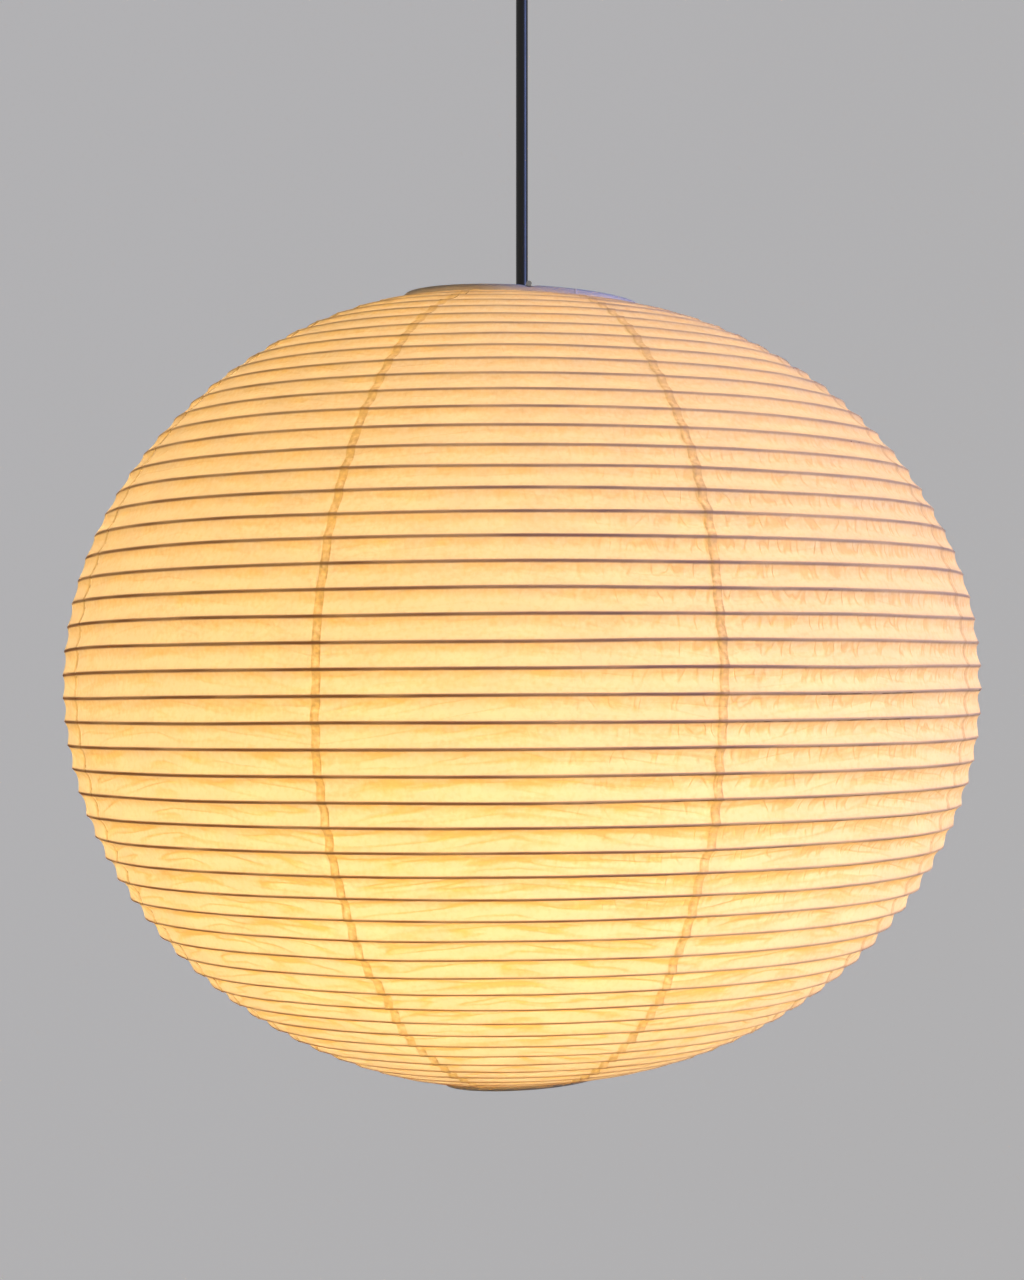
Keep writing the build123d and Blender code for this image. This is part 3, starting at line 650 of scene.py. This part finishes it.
def light_through(tree, marks, cloud, floc, fibre):
    """The share of light that comes through the sheet, before the bamboo's painted shadow. It is painted
    lower towards the foot.
    """
    formation = add(tree, "ShaderNodeMapRange", {
        "Value": cloud, "From Min": 0.3, "From Max": 0.7, "To Min": 0.95, "To Max": 1.04})
    # painted shade towards the foot
    foot = add(tree, "ShaderNodeMapRange", {
        "Value": marks["down"], "From Min": DIMS_FROM, "From Max": DIMS_TO,
        "To Min": 1.0, "To Max": PAINTED_FOOT_SHARE}, interpolation_type="SMOOTHSTEP")
    through = add(tree, "ShaderNodeMath", {0: formation, 1: foot}, operation="MULTIPLY")
    patchy = add(tree, "ShaderNodeMath", {0: floc, 1: 3.0, 2: -1.0}, operation="MULTIPLY_ADD")
    pasted = add(tree, "ShaderNodeMath", {0: patchy, 1: marks["lap"]}, operation="MULTIPLY")
    for mask, stops in ((pasted, LAP_STOPS), (thin_lines(tree, fibre, FIBRE_WIDTH), FIBRE_STOPS)):
        kept = add(tree, "ShaderNodeMath", {0: mask, 1: -stops, 2: 1.0}, operation="MULTIPLY_ADD")
        through = add(tree, "ShaderNodeMath", {0: through, 1: kept}, operation="MULTIPLY")
    return through


# %% Washi
CLOUD = 20 * MM  # thicker and thinner places in the sheet
FLOC = 2.6 * MM  # knots of fibre
FIBRE_SPACING = 15 * MM
# how much of the glow the painted bamboo shadow takes
RIB_SHADOW_DEPTH = 0.9
TRANSLUCENT = 0.55  # share of the shader


def washi():
    material, tree, place = blank("washi_mulberry_paper")
    marks = {
        name: add(tree, "ShaderNodeAttribute", attribute_name=name).outputs["Fac"]
        for name in ("rib", "lap", "creases", "hem", "shade_under_rib", "down")
    }
    cloud = add(tree, "ShaderNodeTexNoise", {"Vector": place, "Scale": per_metre(CLOUD), "Detail": 3.0})
    floc = add(tree, "ShaderNodeTexNoise", {"Vector": place, "Scale": per_metre(FLOC), "Detail": 3.0})
    fibre = add(tree, "ShaderNodeTexNoise", {
        "Vector": place, "Scale": per_metre(FIBRE_SPACING), "Detail": 1.0, "Distortion": 1.6})
    folded = folds(tree, marks)
    colour = add(tree, "ShaderNodeMix", {
        "Factor": depth_and_painted_shade(tree, marks, cloud, floc, folded),
        "A": linear("fff0cc"), "B": linear("f3d37e")}, data_type="RGBA")
    sheet = add(tree, "ShaderNodeMix", {
        "Factor": light_through(tree, marks, cloud, floc, fibre),
        "A": (0, 0, 0, 1), "B": colour}, data_type="RGBA", clamp_factor=False)
    # Painted shadow of the bamboo: over each turn the glow is tinted dark brown, since the strip casts none.
    rib_shadow_share = add(tree, "ShaderNodeMath", {0: marks["rib"], 1: RIB_SHADOW_DEPTH}, operation="MULTIPLY")
    tint = add(tree, "ShaderNodeMix", {
        "Factor": rib_shadow_share, "A": sheet, "B": linear("845618")}, data_type="RGBA")

    sunken = add(tree, "ShaderNodeMath", {0: folded, 1: -2.5}, operation="MULTIPLY")
    relief = add(tree, "ShaderNodeMath", {0: floc, 1: 0.35, 2: sunken}, operation="MULTIPLY_ADD")
    bump = add(tree, "ShaderNodeBump", {"Height": relief, "Strength": 0.6, "Distance": 0.2 * MM})
    face = add(tree, "ShaderNodeBsdfPrincipled", {
        "Base Color": linear("f4ead6"), "Roughness": 0.85, "Specular IOR Level": 0.15, "Normal": bump})
    glow = add(tree, "ShaderNodeBsdfTranslucent", {"Color": tint, "Normal": bump})
    paper = add(tree, "ShaderNodeMixShader", {0: TRANSLUCENT, 1: face, 2: glow})
    add(tree, "ShaderNodeOutputMaterial", {"Surface": paper})
    return material


cover(gores, washi())

# %% [markdown]
# ## Bamboo
#
# Split bamboo is straw-brown with fine straight grain, and stays matt because it isn't varnished. The
# hoops are wider strips of the same stuff. Real fibre bundles are about 0.4 mm apart, too fine to show,
# so they are drawn about twice as coarse.

# %% Bamboo
BAMBOO_GRAIN = 0.9 * MM


def bamboo(name, dark, pale, roughness):
    material, tree, place = blank(name)
    stretched = add(tree, "ShaderNodeMapping", {"Vector": place, "Scale": (0.08, 0.08, 1.0)})
    grain = add(tree, "ShaderNodeTexNoise", {
        "Vector": stretched, "Scale": per_metre(BAMBOO_GRAIN), "Detail": 3.0})
    patch = add(tree, "ShaderNodeTexNoise", {"Vector": place, "Scale": per_metre(35 * MM), "Detail": 2.0})
    both = add(tree, "ShaderNodeMath", {0: grain, 1: patch}, operation="MULTIPLY")
    share = add(tree, "ShaderNodeMapRange", {"Value": both, "From Min": 0.12, "From Max": 0.4})
    tint = add(tree, "ShaderNodeMix", {
        "Factor": share, "A": linear(dark), "B": linear(pale)}, data_type="RGBA")
    bump = add(tree, "ShaderNodeBump", {"Height": grain, "Strength": 0.5, "Distance": 0.1 * MM})
    face = add(tree, "ShaderNodeBsdfPrincipled", {
        "Base Color": tint, "Roughness": roughness, "Normal": bump})
    add(tree, "ShaderNodeOutputMaterial", {"Surface": face})
    return material


cover([rib], bamboo("split_bamboo", "6b4a26", "a37a48", 0.72))
cover(["top_hoop", "bottom_hoop"], bamboo("bent_bamboo", "8d6a3c", "c9a56c", 0.55))

# %% [markdown]
# ## Trim paper
#
# The trim is stiff white paper. It has gone a little grey and yellow in patches from handling, and the
# felt that it was pressed on has left a soft grain.

# %% Trim paper
FELT_GRAIN = 0.8 * MM


def trim_paper():
    material, tree, place = blank("white_trim_paper")
    patch = add(tree, "ShaderNodeTexNoise", {"Vector": place, "Scale": per_metre(18 * MM), "Detail": 5.0})
    tint = add(tree, "ShaderNodeMix", {
        "Factor": patch, "A": linear("d6ccbe"), "B": linear("f8f4ec")}, data_type="RGBA")
    felt = add(tree, "ShaderNodeTexNoise", {"Vector": place, "Scale": per_metre(FELT_GRAIN), "Detail": 3.0})
    bump = add(tree, "ShaderNodeBump", {"Height": felt, "Strength": 0.4, "Distance": 0.08 * MM})
    face = add(tree, "ShaderNodeBsdfPrincipled", {"Base Color": tint, "Roughness": 0.85, "Normal": bump})
    add(tree, "ShaderNodeOutputMaterial", {"Surface": face})
    return material


cover([top_trim, bottom_trim], trim_paper())

# %% [markdown]
# ## Moulded plastics
#
# Vinyl flex, nylon fittings, the phenolic lampholder and the bulb's housing are all moulded or
# extruded. They share one graph: a nearly even colour, a roughness that varies a little from handling,
# and a fine grain from the mould. That grain is about a tenth of a millimetre, too fine to show, so it
# is drawn at 0.5 mm. The flex has slow waves of about 3 mm instead.

# %% Moulded plastics
def plastic(name, dark, pale, roughness, grain=0.5 * MM, depth=0.02 * MM):
    material, tree, place = blank(name)
    smear = add(tree, "ShaderNodeTexNoise", {"Vector": place, "Scale": per_metre(14 * MM), "Detail": 4.0})
    tint = add(tree, "ShaderNodeMix", {
        "Factor": smear, "A": linear(dark), "B": linear(pale)}, data_type="RGBA")
    worn = add(tree, "ShaderNodeMapRange", {
        "Value": smear, "To Min": roughness * 0.75, "To Max": roughness * 1.25})
    sand = add(tree, "ShaderNodeTexNoise", {"Vector": place, "Scale": per_metre(grain), "Detail": 2.0})
    bump = add(tree, "ShaderNodeBump", {"Height": sand, "Strength": 0.5, "Distance": depth})
    face = add(tree, "ShaderNodeBsdfPrincipled", {
        "Base Color": tint, "Roughness": worn, "IOR": 1.5, "Normal": bump})
    add(tree, "ShaderNodeOutputMaterial", {"Surface": face})
    return material


cover(flexes, plastic("black_vinyl_flex", "050506", "0b0b0d", 0.34, grain=3 * MM, depth=0.01 * MM))
cover(["ceiling_cup"], plastic("black_abs_cup", "0c0c0d", "161617", 0.38))
nylon_fittings = ["cup_cord_grip", "grip_nut", "cord_lock", "cord_lock_nut"]
cover(nylon_fittings, plastic("black_nylon", "0e0e10", "1a1a1c", 0.45))
cover(["lampholder_cap", "lampholder_sleeve"], plastic("black_phenolic", "0a0908", "141210", 0.24))
cover(["bulb_insulator"], plastic("black_glass", "050506", "0c0c0e", 0.08))
cover(["terminal_block"], plastic("white_polyamide", "cfcbc0", "e6e3da", 0.42))
cover(["bulb_housing"], plastic("white_pbt", "d9d7cf", "efede6", 0.35))
cover(["lampholder_insert"], plastic("glazed_steatite", "cfc6b2", "e8e0cf", 0.5, grain=0.8 * MM))

# %% [markdown]
# ## Metals
#
# The wires and the strap are zinc-plated steel, grey and satin. The contacts are brass and the bulb's
# cap is nickel-plated. A metal is all reflection, so its colour is the colour of its highlights, and
# fine scratches from drawing or rolling the metal show as small changes of roughness. Real scratches
# are a few hundredths of a millimetre apart, too fine to show, so they are drawn at 0.6 mm.

# %% Metals
SCRATCH_SPACING = 0.6 * MM


def metal(name, dark, pale, roughness):
    material, tree, place = blank(name)
    bloom = add(tree, "ShaderNodeTexNoise", {"Vector": place, "Scale": per_metre(9 * MM), "Detail": 4.0})
    tint = add(tree, "ShaderNodeMix", {
        "Factor": bloom, "A": linear(dark), "B": linear(pale)}, data_type="RGBA")
    drawn = add(tree, "ShaderNodeMapping", {"Vector": place, "Scale": (1.0, 1.0, 0.1)})
    line = add(tree, "ShaderNodeTexNoise", {
        "Vector": drawn, "Scale": per_metre(SCRATCH_SPACING), "Detail": 2.0})
    worn = add(tree, "ShaderNodeMapRange", {
        "Value": line, "To Min": roughness * 0.7, "To Max": roughness * 1.3})
    bump = add(tree, "ShaderNodeBump", {"Height": line, "Strength": 0.3, "Distance": 0.02 * MM})
    face = add(tree, "ShaderNodeBsdfPrincipled", {
        "Base Color": tint, "Metallic": 1.0, "Roughness": worn, "Normal": bump})
    add(tree, "ShaderNodeOutputMaterial", {"Surface": face})
    return material


wires = ["hanger_bar", "stretcher_leg_near", "stretcher_leg_far"]
cover(wires, metal("zinc_plated_wire", "8f8e8b", "bcbab6", 0.36))
cover(["ceiling_bracket", "cup_screws"], metal("zinc_plated_steel", "a2a4a6", "cfd0d2", 0.28))
brass_parts = ["terminal_screws", "lampholder_contact", "thread_shell"]
cover(brass_parts, metal("pressed_brass", "b08a45", "dcbc74", 0.27))
cover(["bulb_cap", "bulb_contact"], metal("nickel_plate", "a9a59c", "d2cec4", 0.22))

# %% [markdown]
# ## The bulb
#
# An opal globe scatters the light of the chips behind it, so it looks evenly bright. It glows here by
# its own emission, and a soft lamp of the same size lights the paper, because a lamp that the renderer
# knows as one light gives far less noise than a glowing mesh. The globe casts no shadow, so that it
# doesn't stand in the lamp's way.
#
# Washi sends much of the light straight on, so the paper between the bulb and the eye looks brightest.
# This paper's finish spreads light evenly. As a stand-in, the lamp sits a little in front of the bulb,
# so the bright spot is on the front of the shade from wherever it is seen.

# %% Finishes of the bulb
def opal_globe():
    material, tree, place = blank("opal_polycarbonate")
    haze = add(tree, "ShaderNodeTexNoise", {"Vector": place, "Scale": per_metre(12 * MM), "Detail": 3.0})
    tint = add(tree, "ShaderNodeMix", {
        "Factor": haze, "A": linear("ffd9a0"), "B": linear("ffe6c0")}, data_type="RGBA")
    face = add(tree, "ShaderNodeBsdfPrincipled", {
        "Base Color": linear("f2ede2"), "Roughness": 0.3, "Emission Color": tint, "Emission Strength": 5.0})
    add(tree, "ShaderNodeOutputMaterial", {"Surface": face})
    material.cycles.emission_sampling = "NONE"
    return material


def led_board():
    material, tree, place = blank("led_board_enamel")
    speck = add(tree, "ShaderNodeTexNoise", {"Vector": place, "Scale": per_metre(3 * MM), "Detail": 2.0})
    tint = add(tree, "ShaderNodeMix", {
        "Factor": speck, "A": linear("e9e4d2"), "B": linear("fbf8ee")}, data_type="RGBA")
    face = add(tree, "ShaderNodeBsdfPrincipled", {"Base Color": tint, "Roughness": 0.4})
    add(tree, "ShaderNodeOutputMaterial", {"Surface": face})
    return material


cover(["bulb_globe"], opal_globe())
cover(["bulb_led_board"], led_board())

# %% The bulb's light
globe_low, globe_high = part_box("bulb_globe")
GLOBE_RADIUS = (globe_high.x - globe_low.x) / 2
LAMP_FORWARD = 38 * MM
LAMP_WATTS = 2.6

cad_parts["bulb_globe"].visible_shadow = False
bulb_light = bpy.data.lights.new("bulb_light", "POINT")
bulb_light.energy = LAMP_WATTS
bulb_light.color = linear("ffdcae")[:3]
bulb_light.shadow_soft_size = GLOBE_RADIUS
bulb_light.use_soft_falloff = False
bulb_lamp = bpy.data.objects.new("bulb_light", bulb_light)
bpy.context.collection.objects.link(bulb_lamp)
bulb_lamp.location = (0, -LAMP_FORWARD, globe_low.z + GLOBE_RADIUS)
bulb_lamp.visible_camera = False
bulb_lamp.visible_glossy = False
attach(bulb_lamp, "bulb")
print("bulb light:", LAMP_WATTS, "W, at z", round(bulb_lamp.location.z, 3))

# %% [markdown]
# ## What moves with what
#
# The shade turns and swings as one body. On the real lantern, lifting the bottom hoop folds the paper
# and the bamboo like a bellows towards the top hoop. Here they ride on the shade's body, and the
# bottom trim rides on the bottom collar's.

# %% Bodies
soft_pieces = [(gore, f"paper_gore_{number + 1}", "washi") for number, gore in enumerate(gores)]
soft_pieces.append((rib, "bamboo_rib", "bamboo_split"))
for piece, node, slot in soft_pieces:
    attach(piece, "shade")
    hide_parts(node)
    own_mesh(piece)
for piece, body, node in (
    (top_trim, "shade", "top_trim_band"),
    (bottom_trim, "bottom_collar", "bottom_trim_band"),
):
    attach(piece, body)
    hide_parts(node)

# %% [markdown]
# ## The studio
#
# A pale round floor curves up at its edge and closes overhead in a dome, so that no horizon cuts the
# picture from any side. One large soft light, cool in colour, stands to the right and a weak one fills
# from the left. The lantern hangs as high above the floor as it would in a tall room.

# %% Floor
FLOOR_Z = -3.4
FLAT_RADIUS, EDGE_RADIUS, DOME_HEIGHT = 4.0, 1.6, 6.0  # the flat floor, its curved edge, and above that
CENTRE_HOLE = 0.01
FLOOR_SIDES = 96


def studio_floor():
    """A round floor whose edge curves up and closes in a dome."""
    rise = np.linspace(0, math.pi / 2, 17)
    wall = FLAT_RADIUS + EDGE_RADIUS
    reach = [CENTRE_HOLE, 0.75 * FLAT_RADIUS, *(FLAT_RADIUS + EDGE_RADIUS * np.sin(rise))]
    lift = [0.0, 0.0, *(EDGE_RADIUS * (1 - np.cos(rise)))]
    reach += [*(wall * np.cos(rise[1:-1])), CENTRE_HOLE]
    lift += [*(EDGE_RADIUS + DOME_HEIGHT * np.sin(rise[1:]))]
    around = np.linspace(0, 2 * math.pi, FLOOR_SIDES, endpoint=False)
    rings = [
        (radius * math.cos(angle), radius * math.sin(angle), FLOOR_Z + height)
        for radius, height in zip(reach, lift) for angle in around
    ]
    floor = mesh_piece("studio_floor", rings, grid_faces(len(reach), FLOOR_SIDES, closed=True).tolist())
    floor.visible_diffuse = False  # it is seen, but doesn't wash out the lantern's own light
    floor.visible_shadow = False
    return floor


def floor_paper():
    material, tree, place = blank("pale_floor")
    patch = add(tree, "ShaderNodeTexNoise", {"Vector": place, "Scale": per_metre(0.5), "Detail": 2.0})
    tint = add(tree, "ShaderNodeMix", {
        "Factor": patch, "A": linear("e0dbd0"), "B": linear("e6e1d6")}, data_type="RGBA")
    face = add(tree, "ShaderNodeBsdfPrincipled", {
        "Base Color": tint, "Roughness": 0.9, "Emission Color": linear("f6f4f0"), "Emission Strength": 0.40})
    add(tree, "ShaderNodeOutputMaterial", {"Surface": face})
    return material


floor = studio_floor()
cover([floor], floor_paper())

# %% Lights of the studio
def soft_light(name, place, size, energy, colour):
    """A square light that points at the lamp in the shade."""
    data = bpy.data.lights.new(name, "AREA")
    data.size = size
    data.energy = energy
    data.color = linear(colour)[:3]
    lamp = bpy.data.objects.new(name, data)
    bpy.context.collection.objects.link(lamp)
    lamp.location = place
    away = lamp.location - bulb_lamp.location
    lamp.rotation_euler = away.to_track_quat("Z", "Y").to_euler()
    print(f"{name}: {energy} W, {size} m wide")


soft_light("key_light", (2.8, -0.95, 0.4), 1.4, 64, "96acff")
soft_light("fill_light", (-2.4, -1.2, 1.4), 2.2, 1.0, "ffffff")
world = bpy.data.worlds.new("studio")
bpy.context.scene.world = world
world.use_nodes = True
world.node_tree.nodes["Background"].inputs["Color"].default_value = linear("f4f5f8")
world.node_tree.nodes["Background"].inputs["Strength"].default_value = 0.07
bpy.context.scene.view_settings.view_transform = "Standard"
